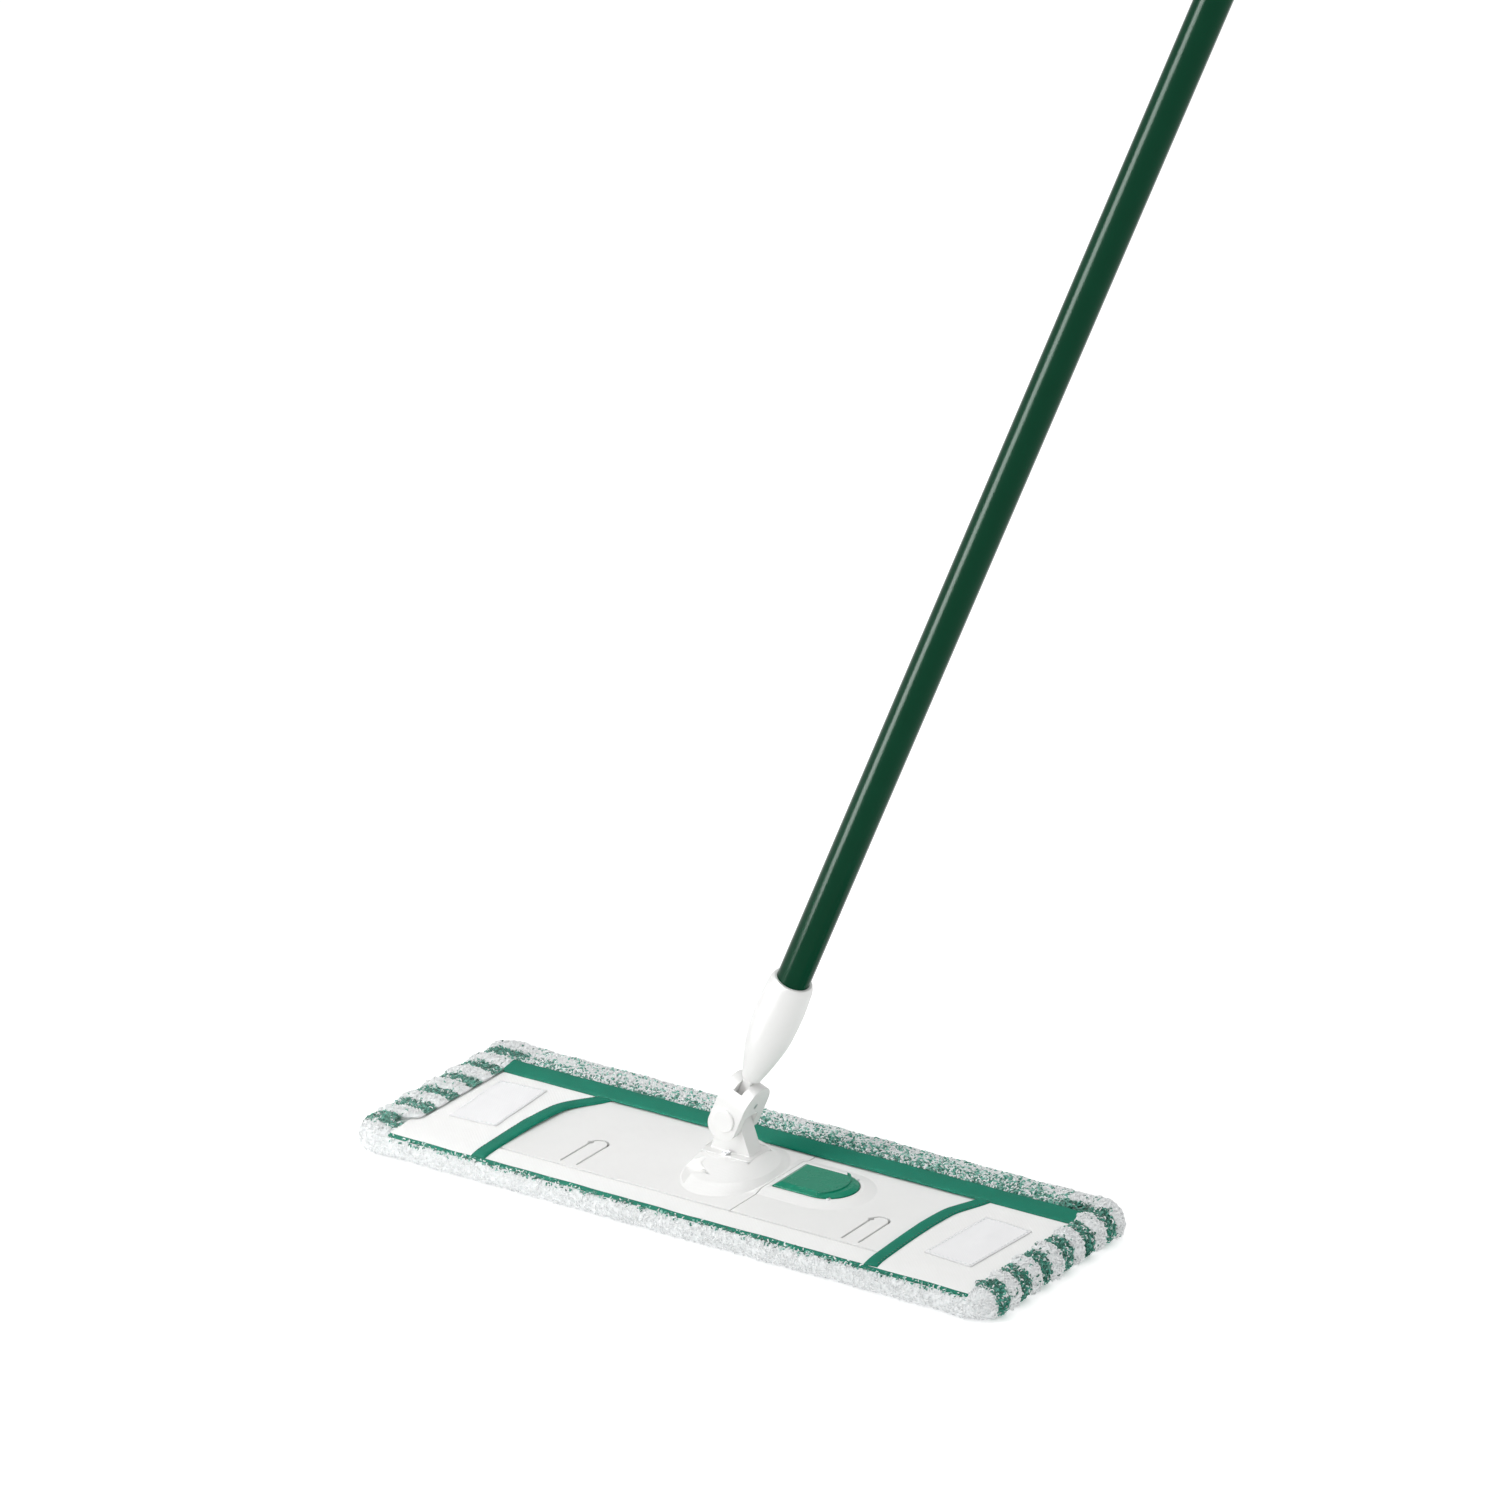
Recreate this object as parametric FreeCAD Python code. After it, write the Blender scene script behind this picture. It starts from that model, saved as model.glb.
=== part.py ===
"""Flat mop: pocketed microfibre pad, folding plastic frame, swivel yoke, socket and steel handle.

Millimetres, +Z up. The origin is on the floor under the middle of the pad and of the
lower joint pin. +X runs along the pad towards the release pedal, +Y across the pad.
"""
import FreeCAD, Part
import math
import os

os.makedirs("parts", exist_ok=True)
V = FreeCAD.Vector
X_AXIS, Y_AXIS, Z_AXIS = V(1, 0, 0), V(0, 1, 0), V(0, 0, 1)

# ---- general fits ------------------------------------------------------------------
gap = 0.3                 # air between neighbouring parts
run_fit = 0.05            # radial clearance of a turning pin
seat_fit = 0.01           # radial clearance of a pin that stays put

# ---- pad -----------------------------------------------------------------------------
pad_half_x, pad_half_y = 245.0, 87.5
pad_corner = 30.0
roll_width, roll_top, roll_round = 24.5, 18.5, 7.5
pile_top, backing_top = 7.5, 9.5
core_margin = 0.4         # air between the flat core and the edge roll

# ---- frame ---------------------------------------------------------------------------
plate_half_x, plate_half_y, plate_corner = 214.0, 61.0, 22.0
plate_top, skin, rim_wall = 17.5, 2.6, 2.6
plate_foot = backing_top + gap
rib_wall = 1.8
rib_ys = (-41.0, -20.5, 20.5, 41.0)
rib_pitch = 42.0
slit_width, slit_reach, slit_span, slit_start_y = 1.6, 40.0, 11.0, -57.0
slit_xs = (-92.0, 124.0)

# ---- fold hinge ----------------------------------------------------------------------
fold_x, fold_z = 36.0, 12.2
fold_slot = 0.8           # open line between the two plates
fold_flare = 0.82         # sideways opening per millimetre below the hinge line
fold_pin_r, knuckle_r = 1.5, 2.4
knuckle_main = ((-58.0, -46.0), (-24.0, -14.0), (14.0, 24.0), (46.0, 58.0))
knuckle_wing = ((-45.6, -24.4), (24.4, 45.6))
fold_pin_spans = ((-57.0, -15.0), (15.0, 57.0))

# ---- centre dome and joint foot ----------------------------------------------------------
dome_x, dome_y, dome_foot, dome_waist = 4.0, -7.0, (30.6, 45.0), (27.4, 34.5)
dome_crown = (20.0, 20.0)
dome_waist_z, dome_top, dome_skin = 22.6, 29.0, 2.6
foot_half_x, foot_flange = 19.0, 2.4
foot_half_y = 14.0
foot_screw_y, foot_screw_r, foot_head_r, foot_head_h = 11.2, 1.5, 2.7, 1.6
foot_screw_len = 9.0
lug_half_y, lug_foot_half_x, lug_top_r = 6.8, 15.5, 6.3

recess_x0, recess_x1, recess_y0, recess_y1, recess_z = -27.0, -10.0, -44.0, -20.0, 18.4
step_x1, step_y0, step_z0, step_z1 = 11.0, -35.0, 20.6, 23.4

# ---- yoke ----------------------------------------------------------------------------
pin_z = 53.6              # height of the lower joint pin
lean = 23.0               # resting lean of yoke and handle towards +X, degrees
yoke_half_x, yoke_half_y = 10.7, 14.2
yoke_bottom, yoke_top, upper_pin = -15.0, 27.8, 13.6
yoke_slot_half = lug_half_y + gap
yoke_slot_r = 6.7
yoke_pin_r, boss_r, boss_h = 3.0, 8.0, 1.6
tilt_pin_r, eye_r, tongue_half_x, tongue_half_y = 2.0, 5.2, 3.1, 4.0
eye_cavity = 0.4
tilt_reach = 35.0         # how far the handle tips across the pad, degrees
swing_reach = 70.0        # how far the yoke swings each way from upright, degrees
mouth_far = 30.0

# ---- socket, tube, hanging cap -----------------------------------------------------------
socket_profile = ((17.0, 6.4), (26.0, 9.0), (38.0, 12.0), (50.0, 14.3), (64.0, 15.3),
                  (78.0, 15.5), (90.0, 14.9), (97.0, 13.6))
socket_rim, socket_rim_r = 98.5, 12.6
tube_r, tube_wall, tube_length, tube_depth = 11.0, 0.6, 1250.0, 46.0
screw_up, screw_r, screw_head_r = 82.0, 1.6, 3.0
cap_r, cap_wall_gap, cap_plug, cap_body, cap_round = 11.6, 0.02, 24.0, 46.0, 4.0
hang_r, hang_up, cap_flat = 5.0, 30.0, 5.0

# ---- pedal ----------------------------------------------------------------------------
pedal_x0, pedal_x1, pedal_half_y = 41.0, 91.0, 19.8
pedal_top, pedal_foot, pedal_shell = 23.0, 17.8, 2.4
pedal_bevel, pedal_press = 4.0, 5.0
ridge_x, ridge_r, ridge_w, ridge_h = 60.0, 24.0, 1.2, 0.4
thumb_drop = 0.4
well_air, well_wall = 0.6, 2.2
mound_foot, mound_rim, mound_top, mound_round = 15.0, 3.0, 20.2, 1.0
pedal_pin_x, pedal_pin_z, pedal_pin_r, pedal_lug_r = 82.0, 19.4, 1.5, 2.6
pedal_lug_half_y = 12.0
spring_x, spring_r, spring_wire, spring_turns = 58.0, 4.0, 0.5, 4.0
bridge_half_x, bridge_top = 6.5, 11.6

# ---- pockets and trims -----------------------------------------------------------------
pocket_t, pocket_edge = 1.2, 147.0
pocket_end, pocket_near, pocket_far = 223.5, -65.5, 38.2
binding_width, binding_t = 9.5, 0.8
label_half_x, label_half_y, label_t = 18.0, 33.0, 0.6
label_main, label_wing = (-183.0, -7.0), (194.0, -17.0)
far_tape = ((38.6, 17.9), (52.0, 19.0), (52.0, 20.0), (38.6, 18.9))
far_tape_end = 208.0
near_tape_y0, near_tape_y1, near_tape_t = -80.0, -77.0, 0.8

# ======================================= helpers =======================================


def box(x0, x1, y0, y1, z0, z1):
    return Part.makeBox(x1 - x0, y1 - y0, z1 - z0, V(x0, y0, z0))


def upright_edges(shape):
    found = []
    for edge in shape.Edges:
        span = edge.Vertexes[-1].Point - edge.Vertexes[0].Point
        if abs(span.z) > 1e-6 and abs(span.x) < 1e-6 and abs(span.y) < 1e-6:
            found.append(edge)
    return found


def rounded_box(half_x, half_y, z0, z1, corner):
    block = box(-half_x, half_x, -half_y, half_y, z0, z1)
    return block.makeFillet(corner, upright_edges(block))


def rod(radius, start, axis, length):
    return Part.makeCylinder(radius, length, start, axis)


def rod_y(radius, x, z, y0, y1):
    return rod(radius, V(x, y0, z), Y_AXIS, y1 - y0)


def rod_x(radius, y, z, x0, x1):
    return rod(radius, V(x0, y, z), X_AXIS, x1 - x0)


def prism_y(points, y0, y1):
    """Extrude an (x, z) outline along Y."""
    corners = [V(x, y0, z) for x, z in points]
    face = Part.Face(Part.makePolygon(corners + corners[:1]))
    return face.extrude(V(0, y1 - y0, 0))


def prism_x(points, x0, x1):
    """Extrude a (y, z) outline along X."""
    corners = [V(x0, y, z) for y, z in points]
    face = Part.Face(Part.makePolygon(corners + corners[:1]))
    return face.extrude(V(x1 - x0, 0, 0))


def ellipse_wire(cx, cy, half, z):
    major, minor = max(half), min(half)
    curve = Part.Ellipse(V(0, 0, 0), major, minor)
    edge = curve.toShape()
    if half[1] > half[0]:
        edge.rotate(V(0, 0, 0), Z_AXIS, 90)
    edge.translate(V(cx, cy, z))
    return Part.Wire([edge])


def dome_solid(shrink, drop):
    sections = ((dome_foot, plate_top - skin), (dome_foot, plate_top),
                (dome_waist, dome_waist_z), (dome_crown, dome_top))
    wires = []
    for half, z in sections:
        size = (half[0] - shrink, half[1] - shrink)
        cx, cy = (0.0, 0.0) if half is dome_crown else (dome_x, dome_y)
        wires.append(ellipse_wire(cx, cy, size, z - drop))
    return Part.makeLoft(wires, True, True)


def fuse(shapes):
    result = shapes[0]
    if len(shapes) > 1:
        result = result.multiFuse(list(shapes[1:]))
    return result.removeSplitter()


def fold_notch():
    """Open wedge under the hinge line plus the narrow line above it."""
    low = -5.0
    reach = fold_flare * (fold_z - low)
    wedge = prism_y([(fold_x, fold_z + 0.4), (fold_x + reach, low), (fold_x - reach, low)], -200, 200)
    line = box(fold_x - fold_slot / 2, fold_x + fold_slot / 2, -200, 200, low, 60)
    return fuse([wedge, line])


def split(shape):
    """Cut a shape at the fold: (main side, wing side)."""
    opened = shape.cut(fold_notch())
    main = opened.common(box(-400, fold_x, -200, 200, -10, 80))
    wing = opened.common(box(fold_x, 400, -200, 200, -10, 80))
    return main, wing


def lean_over(shape):
    """Move a part drawn upright on the lower pin to its resting place."""
    moved = shape.copy()
    moved.rotate(V(0, 0, 0), Y_AXIS, lean)
    moved.translate(V(0, 0, pin_z))
    return moved


def save(name, shape):
    if shape.ShapeType == "Compound" and len(shape.Solids) == 1:
        shape = shape.Solids[0]
    shape.exportStep("parts/" + name + ".step")
    print(name, len(shape.Solids), "solids", round(shape.Volume), "mm3", shape.isValid())


# ======================================= pad =======================================


def edge_roll():
    outer = rounded_box(pad_half_x, pad_half_y, 0, roll_top, pad_corner)
    inner = rounded_box(pad_half_x - roll_width, pad_half_y - roll_width, -1, roll_top + 1,
                        pad_corner - roll_width)
    ring = outer.cut(inner)
    soft = [e for e in ring.Edges if abs(e.BoundBox.ZMax - e.BoundBox.ZMin) < 1e-6]
    return ring.makeFillet(roll_round, soft)


def core_layer(z0, z1):
    inset = roll_width + core_margin
    return rounded_box(pad_half_x - inset, pad_half_y - inset, z0, z1, pad_corner - roll_width)


def pocket(side):
    """Flat pocket sheet over one end of the frame, drawn at z0."""
    z0 = plate_top + gap
    sheet = box(pocket_edge, pocket_end, pocket_near, pocket_far, z0, z0 + pocket_t)
    outer = [e for e in upright_edges(sheet) if e.BoundBox.XMin > pocket_edge + 1]
    sheet = sheet.makeFillet(plate_corner, outer)
    return sheet if side > 0 else sheet.mirror(V(0, 0, 0), X_AXIS)


def binding(side):
    z0 = plate_top + gap + pocket_t + 0.05
    strip = box(pocket_edge - 1, pocket_edge - 1 + binding_width, pocket_near, pocket_far,
                z0, z0 + binding_t)
    return strip if side > 0 else strip.mirror(V(0, 0, 0), X_AXIS)


def label(side):
    z0 = plate_top + gap + pocket_t + 0.05
    x, y = label_wing if side > 0 else label_main
    return box(x - label_half_x, x + label_half_x, y - label_half_y, y + label_half_y,
               z0, z0 + label_t)


# ======================================= frame =======================================


def plate():
    body = rounded_box(plate_half_x, plate_half_y, plate_foot, plate_top, plate_corner)
    hollow = rounded_box(plate_half_x - rim_wall, plate_half_y - rim_wall, plate_foot - 1,
                         plate_top - skin, plate_corner - rim_wall)
    shell = body.cut(hollow)
    ribs = []
    for y in rib_ys:
        ribs.append(box(-plate_half_x + rim_wall / 2, plate_half_x - rim_wall / 2,
                        y - rib_wall / 2, y + rib_wall / 2, plate_foot, plate_top - skin / 2))
    count = int(plate_half_x // rib_pitch)
    for i in range(-count, count + 1):
        x = i * rib_pitch
        ribs.append(box(x - rib_wall / 2, x + rib_wall / 2, -plate_half_y + rim_wall / 2,
                        plate_half_y - rim_wall / 2, plate_foot, plate_top - skin / 2))
    return fuse([shell, fuse(ribs).common(body)])


def gripper_slit(x):
    """U-shaped cut that frees a springy cloth-gripping tongue."""
    top_y = slit_start_y + slit_reach - slit_span / 2
    low, high = plate_foot - 1, plate_top + 1
    outer = fuse([box(x - slit_span / 2 - slit_width, x + slit_span / 2 + slit_width,
                      slit_start_y, top_y, low, high),
                  rod(slit_span / 2 + slit_width, V(x, top_y, low), Z_AXIS, high - low)])
    inner = fuse([box(x - slit_span / 2, x + slit_span / 2, slit_start_y - 1, top_y, low, high),
                  rod(slit_span / 2, V(x, top_y, low), Z_AXIS, high - low)])
    eye = rod(slit_width * 1.3, V(x - slit_span / 2 - slit_width / 2, top_y, low), Z_AXIS,
              high - low)
    return fuse([outer.cut(inner), eye])


def knuckles(spans, side):
    """Hinge barrels with webs up into the plate on their own side."""
    parts = []
    for y0, y1 in spans:
        parts.append(rod_y(knuckle_r, fold_x, fold_z, y0, y1))
        reach = side * 9.0
        web = [(fold_x + side * fold_slot / 2, fold_z + 1.2), (fold_x + side * fold_slot / 2, plate_top - 1),
               (fold_x + reach, plate_top - 1), (fold_x + reach, fold_z)]
        parts.append(prism_y(web, y0, y1))
        parts.append(prism_y([(fold_x, fold_z), (fold_x + side * knuckle_r, fold_z - 0.2),
                              (fold_x + reach, fold_z), (fold_x + reach, plate_top - 1),
                              (fold_x + side * fold_slot / 2, plate_top - 1)], y0, y1))
    return fuse(parts)


def hinge_room(spans):
    """Space kept free round the other side's barrels."""
    return fuse([rod_y(knuckle_r + 0.25, fold_x, fold_z, y0 - 0.2, y1 + 0.2) for y0, y1 in spans])


def d_outline(grow, z):
    """Wire of the pedal's D outline, straight on the left and round on the right."""
    r = pedal_half_y + grow
    cx = pedal_x1 - pedal_half_y
    x0 = pedal_x0 - grow
    a, b = V(x0, -r, z), V(cx, -r, z)
    c, d = V(cx, r, z), V(x0, r, z)
    arc = Part.Arc(b, V(cx + r, 0, z), c).toShape()
    return Part.Wire([Part.makeLine(a, b), arc, Part.makeLine(c, d), Part.makeLine(d, a)])


def d_prism(grow, z0, z1):
    return Part.Face(d_outline(grow, z0)).extrude(V(0, 0, z1 - z0))


def frame_pair():
    whole = plate()
    dome = dome_solid(0, 0)
    dome_room = dome_solid(dome_skin, dome_skin)
    mound = Part.makeLoft([d_outline(mound_foot, plate_top - skin / 2),
                           d_outline(mound_rim + mound_round, mound_top - mound_round / 3),
                           d_outline(mound_rim, mound_top)], True, True)
    whole = fuse([whole, mound])
    main, wing = split(whole)

    main = fuse([main, dome.cut(box(fold_x - fold_slot / 2, 90, -90, 90, 0, 60))])
    crown = box(-foot_half_x - 1, foot_half_x + 1, -foot_half_y - 1, foot_half_y + 1,
                plate_foot, dome_top - foot_flange)
    room = dome_room.cut(crown)
    posts = [box(recess_x0 - 3, step_x1 + 3, recess_y0 - 3, recess_y1 + 3, plate_foot, dome_top)]
    for sx in (-1, 1):
        posts.append(box(sx * foot_half_x - rib_wall, sx * foot_half_x + rib_wall, -30, 30,
                         plate_foot, dome_top))
    main = main.cut(room.cut(fuse(posts).common(dome_room)))
    main = main.cut(box(-foot_half_x - 0.05, foot_half_x + 0.05, -foot_half_y - 0.05,
                        foot_half_y + 0.05, dome_top - foot_flange, dome_top + 5))
    core_room = box(-foot_half_x + 3, foot_half_x - 3, -foot_half_y + 6.5, foot_half_y - 6.5,
                    plate_foot - 1, dome_top - foot_flange - 3)
    main = main.cut(core_room)
    for sy in (-1, 1):
        main = main.cut(rod(foot_screw_r + seat_fit, V(0, sy * foot_screw_y, dome_top - 20),
                            Z_AXIS, 20))
    # moulded hand recess and step on the dome's near left flank
    recess = prism_y([(recess_x0 - 4, recess_z), (recess_x1, recess_z), (recess_x1, dome_top)],
                     recess_y0, recess_y1)
    step = prism_y([(recess_x1 - 1, step_z0), (step_x1, step_z0), (step_x1, step_z1),
                    (recess_x1 - 1, step_z1 + 3)], step_y0, recess_y1)
    main = main.cut(recess).cut(step)
    main = fuse([main.cut(hinge_room(knuckle_wing)), knuckles(knuckle_main, -1)])
    bore = fuse([rod_y(fold_pin_r + seat_fit, fold_x, fold_z, y0, y1) for y0, y1 in fold_pin_spans])
    main = main.cut(bore).cut(gripper_slit(slit_xs[0]))

    wing = wing.cut(d_prism(well_air, plate_foot - 1, mound_top + 1))
    wall = d_prism(well_air + well_wall, plate_foot, mound_top - 1).cut(
        d_prism(well_air, plate_foot - 1, mound_top))
    wall = wall.cut(fold_notch())
    wall = wall.common(box(fold_x + fold_slot / 2, 400, -200, 200, 0, 80))
    bridge = box(spring_x - bridge_half_x, spring_x + bridge_half_x, -pedal_half_y - 2,
                 pedal_half_y + 2, plate_foot, bridge_top)
    wing = fuse([wing, wall, bridge])
    wing = fuse([wing.cut(hinge_room(knuckle_main)), knuckles(knuckle_wing, 1)])
    bore = fuse([rod_y(fold_pin_r + run_fit, fold_x, fold_z, y0, y1) for y0, y1 in fold_pin_spans])
    pedal_bore = rod_y(pedal_pin_r + seat_fit, pedal_pin_x, pedal_pin_z, -19, 19)
    wing = wing.cut(bore).cut(pedal_bore).cut(gripper_slit(slit_xs[1]))
    return main, wing


def joint_foot():
    flange = rounded_box(foot_half_x, foot_half_y, dome_top - foot_flange, dome_top, 4.0)
    flange = flange.makeChamfer(0.8, [e for e in flange.Edges if e.BoundBox.ZMin > dome_top - 0.01])
    side = [(-lug_foot_half_x, dome_top - 1), (lug_foot_half_x, dome_top - 1),
            (lug_top_r, pin_z), (-lug_top_r, pin_z)]
    lug = fuse([prism_y(side, -lug_half_y, lug_half_y),
                rod_y(lug_top_r, 0, pin_z, -lug_half_y, lug_half_y)])
    body = fuse([flange, lug])
    body = body.cut(rod_y(yoke_pin_r + run_fit, 0, pin_z, -20, 20))
    for sy in (-1, 1):
        body = body.cut(rod(foot_screw_r + seat_fit, V(0, sy * foot_screw_y, dome_top - 20),
                            Z_AXIS, 30))
    return body


def foot_screws():
    parts = []
    for sy in (-1, 1):
        y = sy * foot_screw_y
        shank = rod(foot_screw_r, V(0, y, dome_top - foot_screw_len), Z_AXIS, foot_screw_len)
        head = rod(foot_head_r, V(0, y, dome_top + 0.02), Z_AXIS, foot_head_h)
        head = head.cut(box(-0.4, 0.4, y - 2, y + 2, dome_top + foot_head_h - 0.8, dome_top + 9))
        head = head.cut(box(-2, 2, y - 0.4, y + 0.4, dome_top + foot_head_h - 0.8, dome_top + 9))
        neck = rod(foot_screw_r, V(0, y, dome_top - 1), Z_AXIS, 1.5)
        parts.append(fuse([shank, neck, head]))
    return Part.makeCompound(parts)


# ======================================= yoke =======================================


def yoke_body():
    lower = box(-yoke_half_x, yoke_half_x, -yoke_half_y, yoke_half_y,
                yoke_bottom + yoke_half_x, upper_pin)
    end = rod_y(yoke_half_x, 0, yoke_bottom + yoke_half_x, -yoke_half_y, yoke_half_y)
    crown = rod_x(yoke_top - upper_pin, 0, upper_pin, -yoke_half_x, yoke_half_x)
    body = fuse([lower, end, crown])
    slot = fuse([rod_y(yoke_slot_r, 0, 0, -yoke_slot_half, yoke_slot_half),
                 box(-yoke_half_x - 1, yoke_half_x + 1, -yoke_slot_half, yoke_slot_half,
                     yoke_bottom - 1, 0),
                 prism_y([(-yoke_half_x - 1, -1), (-yoke_half_x - 1, 3.5), (-5, 4.4), (5, 4.4),
                          (yoke_half_x + 1, 3.5), (yoke_half_x + 1, -1)],
                         -yoke_slot_half, yoke_slot_half)])
    body = body.cut(slot)
    for side in (-1, 1):
        wedge = [(-lug_foot_half_x - gap, dome_top - pin_z), (lug_foot_half_x + gap, dome_top - pin_z),
                 (lug_top_r + gap, 0), (-lug_top_r - gap, 0)]
        room = prism_y(wedge, -yoke_slot_half, yoke_slot_half)
        room.rotate(V(0, 0, 0), V(0, 1, 0), side * swing_reach)
        body = body.cut(room)
    half = math.radians(tilt_reach)
    flank = tongue_half_y + gap
    near = (flank * math.cos(half), upper_pin - flank * math.sin(half))
    top = (near[0] + mouth_far * math.sin(half), near[1] + mouth_far * math.cos(half))
    mouth = [near, top, (-top[0], top[1]), (-near[0], near[1])]
    width = tongue_half_x + gap
    body = body.cut(prism_x(mouth, -width, width))
    body = body.cut(rod_x(eye_r + eye_cavity, 0, upper_pin, -width, width))
    body = body.cut(rod_y(yoke_pin_r + seat_fit, 0, 0, -20, 20))
    body = body.cut(rod_x(tilt_pin_r + seat_fit, 0, upper_pin, -20, 20))
    return body


def pin_caps():
    parts = []
    for sy in (-1, 1):
        start = yoke_half_y + 0.02 if sy > 0 else -yoke_half_y - 0.02 - boss_h
        disc = rod_y(boss_r, 0, 0, start, start + boss_h)
        face_y = start + boss_h if sy > 0 else start
        rim = [e for e in disc.Edges if abs(e.BoundBox.YMax - face_y) < 0.01
               and abs(e.BoundBox.YMin - face_y) < 0.01]
        parts.append(disc.makeFillet(0.9, rim))
    return Part.makeCompound(parts)


# ======================================= handle =======================================


def socket_body():
    """Tongue and eye that sit in the yoke, swelling into the round tube socket."""
    up = upper_pin
    eye = rod_x(eye_r, 0, up, -tongue_half_x, tongue_half_x)
    neck_top = socket_profile[0][0] + 2
    neck = box(-tongue_half_x, tongue_half_x, -tongue_half_y, tongue_half_y, up, up + neck_top)
    pts = [V(0, 0, up + socket_profile[0][0])]
    curve_pts = [V(r, 0, up + s) for s, r in socket_profile] + [V(socket_rim_r, 0, up + socket_rim)]
    spline = Part.BSplineCurve()
    spline.interpolate(curve_pts)
    edges = [Part.makeLine(pts[0], curve_pts[0]), spline.toShape(),
             Part.makeLine(curve_pts[-1], V(0, 0, up + socket_rim)),
             Part.makeLine(V(0, 0, up + socket_rim), pts[0])]
    bulb = Part.Face(Part.Wire(edges)).revolve(V(0, 0, 0), Z_AXIS, 360)
    body = fuse([Part.Solid(bulb) if bulb.ShapeType == "Shell" else bulb, neck, eye])
    body = body.cut(rod(tube_r + seat_fit, V(0, 0, up + socket_rim - tube_depth), Z_AXIS,
                        tube_depth + 1))
    body = body.cut(rod_x(tilt_pin_r + run_fit, 0, up, -20, 20))
    body = body.cut(rod_y(screw_r + seat_fit, 0, up + screw_up, 0, 30))
    return body


def tube_body():
    z0 = upper_pin + socket_rim - tube_depth + 0.1
    tube = rod(tube_r, V(0, 0, z0), Z_AXIS, tube_length)
    tube = tube.cut(rod(tube_r - tube_wall, V(0, 0, z0 - 1), Z_AXIS, tube_length + 2))
    return tube.cut(rod_y(screw_r + seat_fit, 0, upper_pin + screw_up, 0, 30))


def tube_screw():
    z = upper_pin + screw_up
    shank = rod_y(screw_r, 0, z, 7.0, 15.6)
    head = rod_y(screw_head_r, 0, z, 15.55, 17.0)
    return fuse([shank, head])


def hanging_cap():
    z0 = upper_pin + socket_rim - tube_depth + 0.1 + tube_length
    plug = rod(tube_r - tube_wall - cap_wall_gap, V(0, 0, z0 - cap_plug), Z_AXIS, cap_plug + 1)
    body = rod(cap_r, V(0, 0, z0 + 0.05), Z_AXIS, cap_body)
    top = [e for e in body.Edges if e.BoundBox.ZMin > z0 + cap_body - 1]
    body = body.makeFillet(cap_round, top)
    side_cut = cap_r - cap_flat
    for sx in (-1, 1):
        x0 = sx * cap_flat
        slab = box(min(x0, sx * 20), max(x0, sx * 20), -20, 20, z0 + 14, z0 + cap_body + 1)
        body = body.cut(slab)
    body = fuse([plug, body])
    body = body.cut(rod_x(hang_r, 0, z0 + hang_up, -20, 20))
    hollow = rod(tube_r - tube_wall - side_cut / 2, V(0, 0, z0 - cap_plug - 1), Z_AXIS, cap_plug)
    return body.cut(hollow)


# ======================================= pedal =======================================


def pedal_body():
    lower = d_prism(0, pedal_foot, pedal_top - 2.2)
    wires = [d_outline(0, pedal_top - 2.2), d_outline(-pedal_bevel, pedal_top)]
    cap = Part.makeLoft(wires, True, True)
    body = fuse([lower, cap])
    room = d_prism(-pedal_shell, pedal_foot - 1, pedal_top - 2.2 - pedal_shell / 2)
    body = body.cut(room)
    # raised curved ridge and lower thumb pad beyond it
    ring = rod(ridge_r, V(ridge_x, 0, pedal_top - 1.5), Z_AXIS, 1.5 + ridge_h).cut(
        rod(ridge_r - ridge_w, V(ridge_x, 0, pedal_top - 2), Z_AXIS, 6))
    ring = ring.common(d_prism(-1.2, pedal_foot, pedal_top + 5))
    ring = ring.common(box(ridge_x + 8, 120, -30, 30, 0, 60))
    low = d_prism(1, pedal_top - thumb_drop, pedal_top + 6).cut(
        rod(ridge_r - ridge_w / 2, V(ridge_x, 0, pedal_top - 3), Z_AXIS, 12))
    low = low.common(box(ridge_x + 8, 120, -30, 30, 0, 60))
    body = fuse([body.cut(low), ring])
    lug = fuse([rod_y(pedal_lug_r, pedal_pin_x, pedal_pin_z, -pedal_lug_half_y, pedal_lug_half_y),
                box(pedal_pin_x - 1.6, pedal_pin_x + 1.6, -pedal_lug_half_y, pedal_lug_half_y,
                    pedal_pin_z, pedal_top - 2.4)])
    seat = rod(spring_r + spring_wire + 1.4, V(spring_x, 0, pedal_foot), Z_AXIS, 3.5).cut(
        rod(spring_r + spring_wire + 0.4, V(spring_x, 0, pedal_foot - 1), Z_AXIS, 6))
    body = fuse([body, lug, seat])
    return body.cut(rod_y(pedal_pin_r + run_fit, pedal_pin_x, pedal_pin_z, -30, 30))


def pedal_spring():
    z0, z1 = bridge_top + spring_wire + 0.1, pedal_top - 2.2 - pedal_shell / 2 - spring_wire - 0.1
    height = z1 - z0
    path = Part.makeHelix(height / spring_turns, height, spring_r)
    profile = Part.Wire([Part.makeCircle(spring_wire, V(spring_r, 0, 0), Y_AXIS)])
    coil = Part.Wire(path.Edges).makePipeShell([profile], True, True)
    coil.translate(V(spring_x, 0, z0))
    return coil


# ======================================= build =======================================


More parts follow.
